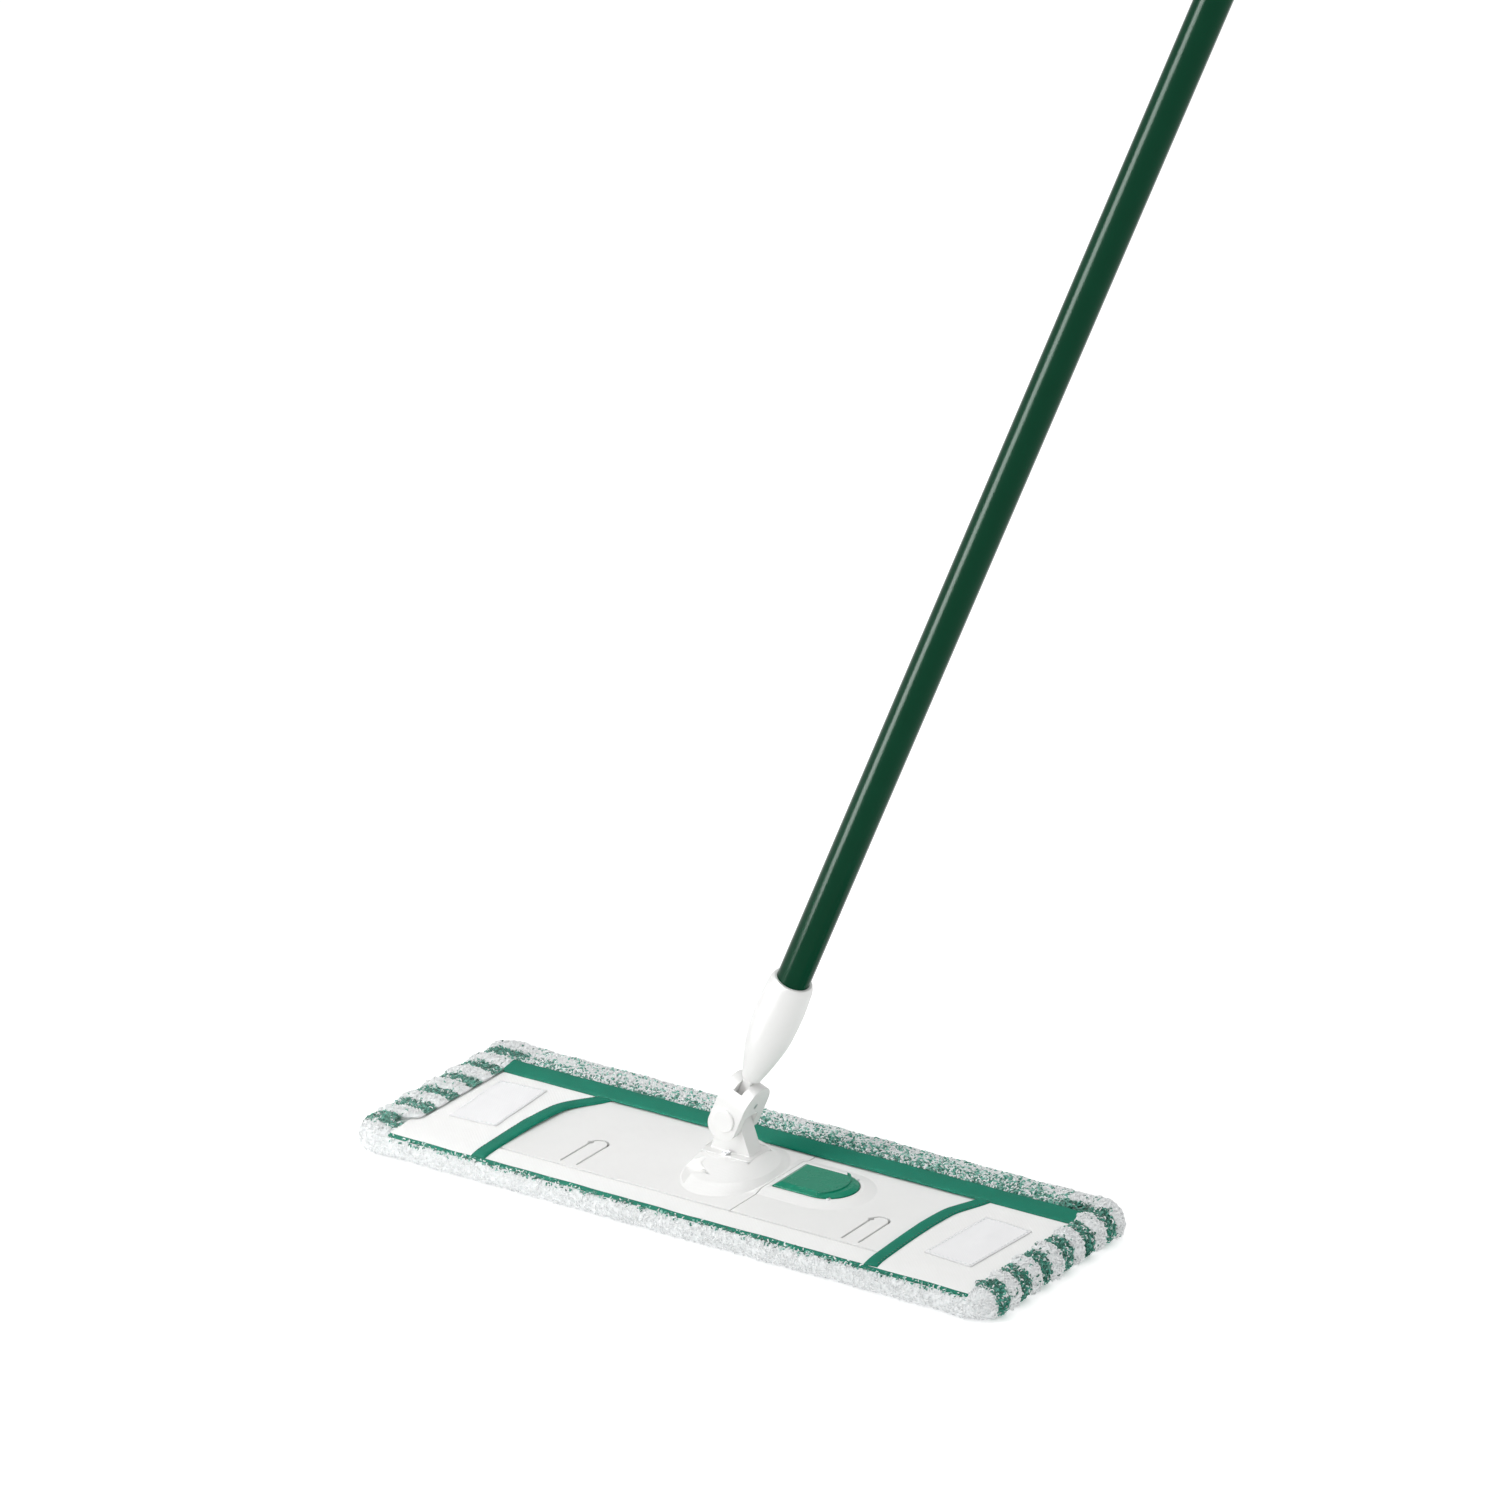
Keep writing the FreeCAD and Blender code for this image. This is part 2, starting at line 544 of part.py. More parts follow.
def build():
    for name, (main, wing) in (("pad_pile", split(core_layer(0, pile_top))),
                               ("pad_backing", split(core_layer(pile_top + 0.02, backing_top))),
                               ("pad_edge_roll", split(edge_roll()))):
        save(name + "_main", main)
        save(name + "_wing", wing)

    for name, make in (("pocket", pocket), ("pocket_binding", binding), ("pocket_label", label)):
        save(name + "_main", make(-1))
        save(name + "_wing", make(1))

    far_main, far_wing = split(prism_x(far_tape, -far_tape_end, far_tape_end))
    save("border_tape_far_main", far_main)
    save("border_tape_far_wing", far_wing)
    z0 = roll_top + 0.1
    near = box(-far_tape_end, far_tape_end, near_tape_y0, near_tape_y1, z0, z0 + near_tape_t)
    near_main, near_wing = split(near)
    save("border_tape_near_main", near_main)
    save("border_tape_near_wing", near_wing)

    frame_main, frame_wing = frame_pair()
    save("frame_main", frame_main)
    save("frame_wing", frame_wing)
    save("fold_pins", Part.makeCompound([rod_y(fold_pin_r, fold_x, fold_z, y0 + 0.2, y1 - 0.2)
                                         for y0, y1 in fold_pin_spans]))
    save("joint_foot", joint_foot())
    save("foot_screws", foot_screws())

    save("yoke", lean_over(yoke_body()))
    save("yoke_pin", lean_over(rod_y(yoke_pin_r, 0, 0, -yoke_half_y, yoke_half_y)))
    save("yoke_pin_caps", lean_over(pin_caps()))
    save("tilt_pin", lean_over(rod_x(tilt_pin_r, 0, upper_pin, -yoke_half_x + 0.2,
                                     yoke_half_x - 0.2)))
    save("handle_socket", lean_over(socket_body()))
    save("handle_tube", lean_over(tube_body()))
    save("socket_screw", lean_over(tube_screw()))
    save("hanging_cap", lean_over(hanging_cap()))

    save("release_pedal", pedal_body())
    save("pedal_pin", rod_y(pedal_pin_r, pedal_pin_x, pedal_pin_z, -18.5, 18.5))
    save("pedal_spring", pedal_spring())


build()
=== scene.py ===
"""Looks of the flat mop: striped loop-pile pad, cloth pockets and tapes, moulded joint, painted handle."""

import math

import bmesh
import bpy
import numpy as np
from mathutils import Matrix, Vector, noise


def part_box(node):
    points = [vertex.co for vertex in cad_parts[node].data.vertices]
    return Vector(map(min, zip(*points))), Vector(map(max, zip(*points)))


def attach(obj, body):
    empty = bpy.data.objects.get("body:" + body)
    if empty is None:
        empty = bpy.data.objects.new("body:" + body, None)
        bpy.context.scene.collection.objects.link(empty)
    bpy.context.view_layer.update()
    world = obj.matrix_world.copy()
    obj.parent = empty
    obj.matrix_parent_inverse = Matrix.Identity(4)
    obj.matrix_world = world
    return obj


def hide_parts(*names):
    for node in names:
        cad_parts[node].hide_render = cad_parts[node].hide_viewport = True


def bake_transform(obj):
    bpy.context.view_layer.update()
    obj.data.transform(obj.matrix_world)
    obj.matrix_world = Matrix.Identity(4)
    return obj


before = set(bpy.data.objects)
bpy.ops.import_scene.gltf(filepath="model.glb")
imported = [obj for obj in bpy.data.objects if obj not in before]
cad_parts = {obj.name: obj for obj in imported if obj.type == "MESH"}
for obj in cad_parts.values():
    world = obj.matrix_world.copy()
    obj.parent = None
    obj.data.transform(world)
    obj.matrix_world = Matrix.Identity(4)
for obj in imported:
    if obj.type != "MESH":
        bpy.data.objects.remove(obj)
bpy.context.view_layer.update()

MM = 0.001
rng = np.random.default_rng(11)

# ---- sizes, from the frame -----------------------------------------------------------
ROLL_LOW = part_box("pad_edge_roll_main")[0]
HALF_X, HALF_Y = -ROLL_LOW.x, -ROLL_LOW.y          # the pad
PLATE_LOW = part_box("frame_main")[0]
PLATE_X, PLATE_Y = -PLATE_LOW.x, -PLATE_LOW.y      # the plate
CLOTH_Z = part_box("pocket_main")[0].z               # pockets lie on the plate here
TAPE_LOW, TAPE_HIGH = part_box("border_tape_far_main")
CORNER = 22 * MM                                   # the pad's corner radius

# ---- the pad's pile ------------------------------------------------------------------
ROUND = 820                  # points round the pad's outline
STEPS = 4                    # rings between two points of a profile
INNER = 8                    # rings from the roll to the pad's middle line
BANDS = 13                   # stripes across the pad, white outermost
STRIPE_SPAN = 2 * HALF_Y - 8 * MM      # the far white stripe takes the rest
LOOPS, ROW_LOOPS = 19500, 640          # yarn loops on the pile, and in the mixed row by the near piping
TRIM_DEPTH = 4.6             # the near piping's distance from the pad's edge, mm
POCKET_MOUTH = (-144.5 * MM, 154.0 * MM)     # x of the left and the right pocket's open edge
POCKET_BOW = (17.0 * MM, 8.0 * MM)           # how far each edge curves at the far end
POCKET_TUCK = (28.5 * MM, 15.0 * MM)         # from the pad's end to the pocket's hidden end
TAPE_Z, TAPE_RISE, TAPE_CROWN, TAPE_TUCK = 18.75, 2.2, 0.45, 0.7     # the far tape's section, mm
CLOTH_END = PLATE_X + 1 * MM
CLOTH_RIGHT = HALF_X - 18 * MM                      # the pad's right roll is narrower than its left one

# profiles of the pad's edge: (distance in from the outline, height), mm, from under the pad, round the
# outside and over the top to the inside
NEAR_EDGE = [(30, 0.3), (20, 0.2), (11, 0.3), (4.5, 1.4), (1.2, 4.2), (0.4, 8), (1.1, 11.5), (3.4, 14.2),
             (7.5, 16.2), (13, 17.0), (20, 17.3), (25.2, 17.2), (26, 14), (27, 9.6)]
FAR_EDGE = [(30, 0.3), (20, 0.2), (11, 0.3), (4.2, 1.5), (1.0, 5), (0.4, 10), (2, 15), (6.5, 18.6),
            (12.5, 20.2), (20, 20.5), (28, 20.2), (34.6, 19.3), (27.2, 18.4), (27, 9.6)]
END_EDGE = [(30, 0.3), (20, 0.2), (11, 0.3), (4.2, 1.5), (1.0, 5), (0.4, 10), (1.8, 15), (6, 18.7),
            (12, 20.4), (20, 20.9), (28, 20.6), (34.5, 19.7), (30.6, 18.9), (30.8, 9.6)]
RIGHT_EDGE = [(30, 0.3), (20, 0.2), (11, 0.3), (4.2, 1.5), (1.0, 5), (0.4, 10), (1.6, 15), (4.6, 18.3),
              (8.2, 19.9), (11.5, 20.2), (14.5, 19.9), (17.2, 18.8), (16.8, 17.4), (30.8, 9.6)]
CORNER_FILL = 18.2 * MM            # height of the pile inside the pad's corners
PILE_FIRST, PILE_LAST = 3, 11      # profile points between which the surface is pile


# ======================================= helpers ======================================


def smooth(x):
    x = np.clip(x, 0, 1)
    return x * x * (3 - 2 * x)


def new_mesh(name, verts, faces, shade_smooth=True):
    mesh = bpy.data.meshes.new(name)
    mesh.from_pydata([tuple(v) for v in verts], [], [tuple(f) for f in faces])
    mesh.validate()
    if shade_smooth:
        mesh.polygons.foreach_set("use_smooth", [True] * len(mesh.polygons))
    obj = bpy.data.objects.new(name, mesh)
    bpy.context.scene.collection.objects.link(obj)
    rest = mesh.attributes.new("rest", "FLOAT_VECTOR", "POINT")
    co = np.zeros(len(mesh.vertices) * 3, np.float32)
    mesh.vertices.foreach_get("co", co)
    rest.data.foreach_set("vector", co)
    return obj


def set_attribute(obj, name, values):
    attribute = obj.data.attributes.new(name, "FLOAT", "POINT")
    attribute.data.foreach_set("value", np.asarray(values, np.float32))


def grid_faces(rows, columns, closed=False):
    """Quads of a grid of rows x columns points; closed joins the last column to the first."""
    faces = []
    for i in range(rows - 1):
        for j in range(columns if closed else columns - 1):
            k = (j + 1) % columns
            faces.append((i * columns + j, i * columns + k, (i + 1) * columns + k, (i + 1) * columns + j))
    return faces


def cross_fold(obj):
    """Bakes a piece of the pad's placement into its mesh."""
    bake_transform(obj)


def catmull(points, steps):
    """Points along a smooth curve through the given ones."""
    p = np.array([points[0]] + list(points) + [points[-1]], float)
    out = []
    for i in range(1, len(p) - 2):
        for k in range(steps):
            t = k / steps
            out.append(0.5 * (2 * p[i] + (p[i + 1] - p[i - 1]) * t
                              + (2 * p[i - 1] - 5 * p[i] + 4 * p[i + 1] - p[i + 2]) * t ** 2
                              + (3 * p[i] - p[i - 1] - 3 * p[i + 1] + p[i + 2]) * t ** 3))
    out.append(p[-2])
    return np.array(out)


def outline(count):
    """Evenly spaced points round the pad's outline, with their outward normals."""
    ax, ay = HALF_X - CORNER, HALF_Y - CORNER
    arc = CORNER * math.pi / 2
    runs = [(2 * ax, (-ax, -HALF_Y), -90), (2 * ay, (HALF_X, -ay), 0),
            (2 * ax, (ax, HALF_Y), 90), (2 * ay, (-HALF_X, ay), 180)]
    total = sum(r[0] for r in runs) + 4 * arc
    points, normals = [], []
    for s in np.arange(count) / count * total:
        for length, start, angle in runs:
            a = math.radians(angle)
            out = np.array([math.cos(a), math.sin(a)])
            along = np.array([-out[1], out[0]])
            if s <= length:
                points.append(np.array(start) + along * s)
                normals.append(out)
                break
            s -= length
            if s <= arc:
                turn = a + s / CORNER
                out = np.array([math.cos(turn), math.sin(turn)])
                centre = np.array(start) + along * length - np.array([math.cos(a), math.sin(a)]) * CORNER
                points.append(centre + out * CORNER)
                normals.append(out)
                break
            s -= arc
    return np.array(points), np.array(normals)


def stripe(y):
    """0 in a white stripe of the pile, 1 in a green one, with soft borders."""
    s = np.clip((np.asarray(y) + HALF_Y) / STRIPE_SPAN, 0.01, 0.99) * BANDS
    return smooth(0.5 + (0.5 - np.abs((s % 2) - 1.5)) * 4)


def stripe_centre(y):
    """0 at the borders between stripes and 1 in a stripe's middle."""
    s = np.clip((np.asarray(y) + HALF_Y) / STRIPE_SPAN, 0.01, 0.99) * BANDS
    return np.abs(np.sin(s * math.pi))


def near_height(y):
    """Height of the cloth on the near edge's top, in metres, at y."""
    depth = (y + HALF_Y) / MM
    d, z = zip(*NEAR_EDGE[6:12])
    return np.interp(depth, d, z) * MM


# ======================================= materials ====================================


class Shader:
    """A small wrapper that adds and links nodes of one material."""

    def __init__(self, name):
        self.material = bpy.data.materials.new(name)
        self.material.use_nodes = True
        self.nodes = self.material.node_tree.nodes
        self.links = self.material.node_tree.links
        self.bsdf = self.nodes["Principled BSDF"]

    def add(self, kind, **settings):
        node = self.nodes.new("ShaderNode" + kind)
        for key, value in settings.items():
            if hasattr(node, key):
                setattr(node, key, value)
            else:
                node.inputs[key.replace("_", " ")].default_value = value
        return node

    def link(self, a, b):
        self.links.new(a, b)

    def set(self, **values):
        for key, value in values.items():
            self.bsdf.inputs[key.replace("_", " ")].default_value = value

    def rest(self):
        """Coordinates of the undeformed piece, in metres."""
        return self.add("Attribute", attribute_name="rest").outputs["Vector"]

    def place(self):
        return self.add("TexCoord").outputs["Object"]

    def noise(self, where, scale, detail=3.0, rough=0.55):
        node = self.add("TexNoise", Scale=scale, Detail=detail, Roughness=rough)
        self.link(where, node.inputs["Vector"])
        return node.outputs["Fac"]

    def cells(self, where, scale, randomness=1.0):
        node = self.add("TexVoronoi", Scale=scale, Randomness=randomness)
        self.link(where, node.inputs["Vector"])
        return node.outputs["Distance"]

    def waves(self, where, scale, direction="X", distortion=0.0):
        node = self.add("TexWave", Scale=scale, Distortion=distortion)
        node.bands_direction = direction
        self.link(where, node.inputs["Vector"])
        return node.outputs["Fac"]

    def ramp(self, factor, stops):
        node = self.add("ValToRGB")
        for _ in range(len(stops) - 2):
            node.color_ramp.elements.new(0.5)
        for element, (position, colour) in zip(node.color_ramp.elements, stops):
            element.position = position
            element.color = (*colour, 1)
        self.link(factor, node.inputs["Fac"])
        return node.outputs["Color"]

    def range(self, factor, low, high):
        node = self.add("MapRange", To_Min=low, To_Max=high)
        self.link(factor, node.inputs["Value"])
        return node.outputs["Result"]

    def maths(self, operation, a, b):
        node = self.add("Math", operation=operation)
        for socket, value in zip(node.inputs, (a, b)):
            if isinstance(value, (int, float)):
                socket.default_value = value
            else:
                self.link(value, socket)
        return node.outputs["Value"]

    def mix(self, factor, a, b):
        node = self.add("Mix", data_type="RGBA")
        self.link(factor, node.inputs["Factor"])
        for socket, value in ((node.inputs[6], a), (node.inputs[7], b)):
            if isinstance(value, tuple):
                socket.default_value = (*value, 1)
            else:
                self.link(value, socket)
        return node.outputs[2]

    def colour(self, value):
        self.link(value, self.bsdf.inputs["Base Color"])

    def roughness(self, value):
        self.link(value, self.bsdf.inputs["Roughness"])

    def bump(self, *layers, edge=0.0):
        """Stacks bump layers of (height socket, distance in metres), over rounded edges if edge is set."""
        normal = None
        if edge:
            node = self.add("Bevel", samples=4, Radius=edge)
            normal = node.outputs["Normal"]
        for height, distance in layers:
            node = self.add("Bump", Strength=1.0, Distance=distance)
            self.link(height, node.inputs["Height"])
            if normal:
                self.link(normal, node.inputs["Normal"])
            normal = node.outputs["Normal"]
        self.link(normal, self.bsdf.inputs["Normal"])


# WHITE_SHADE and GREEN_DARK are the painted shade in the pile ground's gaps, and the dark ends of the yarns'
# random tones
WHITE_YARN = (0.86, 0.875, 0.88)
WHITE_SHADE = (0.74, 0.765, 0.77)
GREEN_DARK = (0.002, 0.085, 0.055)
GREEN_MID = (0.012, 0.24, 0.165)
# pale green: painted highlight of the green yarn
GREEN_PALE_HIGHLIGHT = (0.16, 0.50, 0.40)


def pile_material():
    """Ground of the pile under the loops, striped white and green, with painted shade in the gaps between
    its knots.
    """
    s = Shader("pile_ground")
    where = s.rest()
    green = s.add("Attribute", attribute_name="green").outputs["Fac"]
    knots_and_gap_shade = s.cells(where, 420)
    ragged = s.maths("ADD", green, s.range(s.noise(where, 300), -0.35, 0.35))
    mask = s.range(ragged, 0, 1)
    # painted shade: white and green both darken away from each knot's middle, into the gaps between knots
    white = s.mix(knots_and_gap_shade, WHITE_YARN, WHITE_SHADE)
    dark = s.mix(knots_and_gap_shade, GREEN_MID, GREEN_DARK)
    s.colour(s.mix(mask, white, dark))
    s.set(Roughness=0.95, Sheen_Weight=0.25, Sheen_Roughness=0.5)
    s.bump((knots_and_gap_shade, 0.9 * MM), (s.noise(where, 1500), 0.25 * MM))
    return s.material


def yarn_material(name, stops):
    """Microfibre yarn, each loop in its own tone, with fine twisted strands."""
    s = Shader(name)
    where = s.rest()
    tone = s.add("Attribute", attribute_name="tone").outputs["Fac"]
    shade = s.maths("ADD", tone, s.range(s.noise(where, 900), -0.12, 0.12))
    s.colour(s.ramp(shade, stops))
    s.set(Roughness=0.9, Sheen_Weight=0.35, Sheen_Roughness=0.45)
    s.bump((s.noise(where, 2600, 2.0), 0.12 * MM))
    return s.material


def cloth_material(name, colour, shade, twill=1500, depth=0.10, slubs=60):
    """Close-woven cloth with a diagonal twill and faint uneven threads."""
    s = Shader(name)
    where = s.rest()
    diagonal = s.waves(where, twill / 6.283, "DIAGONAL")
    across = s.waves(where, twill / 5.1, "Y")
    weave = s.maths("MULTIPLY", diagonal, across)
    uneven = s.noise(where, slubs, 4.0)
    s.colour(s.mix(s.range(s.maths("ADD", weave, uneven), 0.2, 0.9), colour, shade))
    s.roughness(s.range(uneven, 0.82, 0.95))
    s.set(Sheen_Weight=0.15, Sheen_Roughness=0.5)
    s.bump((weave, depth * MM), (uneven, 0.25 * MM))
    return s.material


def tape_material(name, colour, light, rib="X"):
    """Ribbed woven tape, a little shiny along its threads."""
    s = Shader(name)
    where = s.rest()
    ribs = s.waves(where, 1.0 / (2.2 * MM), rib, 0.4)
    fine = s.waves(where, 1.0 / (1.3 * MM), "Y" if rib == "X" else "X", 0.3)
    wear = s.noise(where, 45, 4.0)
    weave = s.maths("MULTIPLY", ribs, fine)
    s.colour(s.mix(s.range(s.maths("ADD", weave, wear), -0.25, 0.75), colour, light))
    s.roughness(s.range(wear, 0.62, 0.82))
    s.set(Sheen_Weight=0.02, Sheen_Roughness=0.4, Specular_IOR_Level=0.1)
    s.bump((weave, 0.10 * MM), (wear, 0.15 * MM))
    return s.material


def plastic_material(name, colour, dull, gloss=(0.34, 0.5), grain=900, depth=0.02, edge=0.5, dots=0.0,
                     coat=0.0, specular=0.5):
    """Moulded plastic: fine grain, faint flow marks and scuffs, rounded edges."""
    s = Shader(name)
    where = s.place()
    flow = s.noise(where, 14, 5.0, 0.6)
    fine = s.noise(where, grain, 2.0)
    scuffs = s.noise(where, 120, 6.0, 0.75)
    s.colour(s.mix(s.range(flow, -0.6, 1.1), colour, dull))
    s.roughness(s.range(s.maths("ADD", s.maths("MULTIPLY", scuffs, 0.7), s.maths("MULTIPLY", flow, 0.3)),
                        gloss[0], gloss[1]))
    s.set(Specular_IOR_Level=specular, Coat_Weight=coat, Coat_Roughness=0.12)
    layers = [(fine, depth * MM), (flow, 0.12 * MM)]
    if dots:
        layers.append((s.cells(where, 1 / (2.4 * MM), 0.0), dots * MM))
    s.bump(*layers, edge=edge * MM)
    return s.material


def paint_material():
    """Glossy powder coat on the steel tube, with a faint orange peel and rubbed streaks."""
    s = Shader("tube_paint")
    where = s.place()
    peel = s.noise(where, 260, 2.0)
    streak = s.noise(where, 22, 5.0, 0.7)
    s.colour(s.mix(s.range(streak, -0.2, 1.0), (0.0004, 0.036, 0.015), (0.0008, 0.046, 0.021)))
    s.roughness(s.range(streak, 0.16, 0.24))
    s.set(Specular_IOR_Level=0.06)
    s.bump((peel, 0.015 * MM), (streak, 0.04 * MM), edge=0.2 * MM)
    return s.material


def steel_material():
    s = Shader("zinc_steel")
    where = s.place()
    brushed = s.noise(where, 700, 3.0)
    patch = s.noise(where, 160, 4.0)
    s.colour(s.mix(patch, (0.55, 0.56, 0.57), (0.7, 0.71, 0.72)))
    s.roughness(s.range(brushed, 0.22, 0.45))
    s.set(Metallic=1.0)
    s.bump((brushed, 0.02 * MM), edge=0.15 * MM)
    return s.material


# ======================================= pad ==========================================


def edge_rings():
    """Rings of the pad's edge as an array [ring, point, xyz], with normals of the outline."""
    points, normals = outline(ROUND)
    curves = [catmull(c, STEPS) for c in (NEAR_EDGE, FAR_EDGE, END_EDGE, RIGHT_EDGE)]
    nx, ny = normals[:, 0], normals[:, 1]
    shares = [np.where(ny < 0, ny ** 2, 0), np.where(ny > 0, ny ** 2, 0),
              np.where(nx < 0, nx ** 2, 0), np.where(nx > 0, nx ** 2, 0)]
    limit = CORNER - 1 * MM
    straight = np.maximum(smooth((HALF_Y - CORNER - np.abs(points[:, 1])) / (12 * MM)),
                          smooth((HALF_X - CORNER - np.abs(points[:, 0])) / (12 * MM)))
    rings = []
    for k in range(len(curves[0])):
        depth = sum(share * curve[k, 0] for share, curve in zip(shares, curves)) * MM
        height = sum(share * curve[k, 1] for share, curve in zip(shares, curves)) * MM
        over = np.maximum(depth - limit, 0)
        depth = np.minimum(depth, limit) + over * straight
        if k > PILE_LAST * STEPS:
            height = np.maximum(height, CORNER_FILL * (1 - straight))
        xy = points - normals * depth[:, None]
        rings.append(np.column_stack([xy, height]))
    return np.array(rings), normals, straight


def pad_body():
    """The pad: pile underneath and round its edge, cloth on the near edge's top."""
    rings, normals, straight = edge_rings()
    middle = HALF_X - HALF_Y
    first, last = rings[0], rings[-1]

    def inner(ring, t, height):
        goal = np.column_stack([np.clip(ring[:, 0], -middle, middle), ring[:, 1] * 0.02])
        xy = ring[:, :2] * (1 - t) + goal * t
        return np.column_stack([xy, np.full(len(xy), height)])

    under = [inner(first, t, 0.3 * MM) for t in np.linspace(1, 0, INNER, endpoint=False)]
    over = [inner(last, 0.17, 9.5 * MM), inner(last, 0.4, 9.5 * MM), inner(last, 1, 9.5 * MM)]
    over[0][:, 2] = np.maximum(over[0][:, 2], (CORNER_FILL - 0.6 * MM) * (1 - straight))
    stack = np.concatenate([np.array(under), rings, np.array(over)])
    rows, columns = stack.shape[:2]
    start = len(under)
    obj = new_mesh("pad_pile", stack.reshape(-1, 3), grid_faces(rows, columns, True))
    mesh = obj.data

    co = stack.reshape(-1, 3)
    normal = np.zeros(len(co) * 3, np.float32)
    mesh.vertices.foreach_get("normal", normal)
    normal = normal.reshape(-1, 3)
    row = np.repeat(np.arange(rows), columns) - start
    pile = smooth((row - PILE_FIRST * STEPS + 2) / 4) * smooth((PILE_LAST * STEPS - row + 1) / 4)
    filled = ((row >= PILE_LAST * STEPS) & (np.tile(straight, rows) < 0.4) & (co[:, 1] > 0)
              & (co[:, 2] > CORNER_FILL - 1 * MM))
    pile = np.where(filled, 1.0, pile)
    side = np.tile(np.abs(normals[:, 0]), rows)
    out_y = np.tile(normals[:, 1], rows)
    depth_row = row / STEPS
    on_cloth = ((out_y < -0.9) & (co[:, 0] > -CLOTH_END) & (co[:, 0] < CLOTH_RIGHT)
                & (depth_row > 7.2) & (depth_row < 11.6))

    puff = stripe_centre(co[:, 1]) ** 0.7 * (2.7 - 1.9 * stripe(co[:, 1])) - 0.8
    corner = (smooth((np.abs(co[:, 0]) - HALF_X + 32 * MM) / (18 * MM))
              * smooth((np.abs(co[:, 1]) - HALF_Y + 30 * MM) / (18 * MM)))
    coarse = np.where(out_y < -0.6, 0.4, 0.8)
    lumps = np.zeros(len(co))
    for i in np.nonzero(pile > 0)[0]:
        p = Vector(co[i])
        cell = noise.voronoi(p / (3.6 * MM))[0][0]
        slow = noise.noise(p / (19 * MM))
        lumps[i] = (0.9 - cell) * 0.9 + slow * 0.8
    move = pile * (side ** 4 * puff + 1.4 * corner + lumps * coarse) * np.where(on_cloth, 0.12, 1.0)
    co = co + normal * (move * MM)[:, None]
    co[:, 2] = np.maximum(co[:, 2], 0.15 * MM)
    mesh.vertices.foreach_set("co", co.astype(np.float32).ravel())
    mesh.update()

    set_attribute(obj, "green", stripe(co[:, 1]) * np.where(on_cloth, 0, 1))
    mesh.materials.append(pile_material())
    mesh.materials.append(CLOTH)
    cloth_faces = [0] * len(mesh.polygons)
    for polygon in mesh.polygons:
        cloth_faces[polygon.index] = int(all(on_cloth[v] for v in polygon.vertices))
    mesh.polygons.foreach_set("material_index", cloth_faces)
    return obj, pile * ~on_cloth


def sample_surface(obj, weight, count):
    """Random points on the mesh, with normals, where the vertex weight is high."""
    mesh = obj.data
    co = np.array([v.co for v in mesh.vertices])
    quads = np.array([p.vertices[:] for p in mesh.polygons if len(p.vertices) == 4])
    a, b, c, d = (co[quads[:, i]] for i in range(4))
    normal = np.cross(c - a, d - b)
    area = np.linalg.norm(normal, axis=1)
    normal = normal / np.maximum(area, 1e-12)[:, None]
    share = area * (weight[quads].min(axis=1) > 0.6) * ((a[:, 2] + c[:, 2]) / 2 > 1.6 * MM)
    pick = rng.choice(len(quads), size=count, p=share / share.sum())
    u, v = rng.random((2, count, 1))
    where = (a[pick] * (1 - u) + b[pick] * u) * (1 - v) + (d[pick] * (1 - u) + c[pick] * u) * v
    return where, normal[pick]


def loops(name, where, normal, width, height, thick, tone, material):
    """Yarn loops standing on the surface: small arches of a three-sided strand."""
    count, bends, sides = len(where), 5, 3
    random = rng.normal(size=(count, 3))
    tangent = np.cross(normal, random)
    tangent /= np.linalg.norm(tangent, axis=1)[:, None]
    across = np.cross(normal, tangent)
    w = width * rng.uniform(0.7, 1.3, count)
    h = height * rng.uniform(0.6, 1.35, count)
    lean = rng.uniform(-0.7, 0.7, count) * height
    r = thick * rng.uniform(0.8, 1.2, count)
    verts = np.zeros((count, bends, sides, 3))
    for k in range(bends):
        angle = math.pi * k / (bends - 1)
        rise = math.sin(angle)
        centre = (where + tangent * (w / 2 * math.cos(angle))[:, None]
                  + normal * (h * rise - 0.5 * MM)[:, None] + across * (lean * rise)[:, None])
        radial = tangent * math.cos(angle) + normal * rise
        for j in range(sides):
            turn = 2 * math.pi * j / sides
            verts[:, k, j] = centre + (across * math.cos(turn) + radial * math.sin(turn)) * r[:, None]
    faces = []
    for n in range(count):
        base = n * bends * sides
        for k in range(bends - 1):
            for j in range(sides):
                i = (j + 1) % sides
                faces.append((base + k * sides + j, base + k * sides + i,
                              base + (k + 1) * sides + i, base + (k + 1) * sides + j))
    verts = verts.reshape(-1, 3)
    verts[:, 2] = np.maximum(verts[:, 2], 0.1 * MM)
    obj = new_mesh(name, verts, faces)
    set_attribute(obj, "tone", np.repeat(tone, bends * sides))
    obj.data.materials.append(material)
    return obj


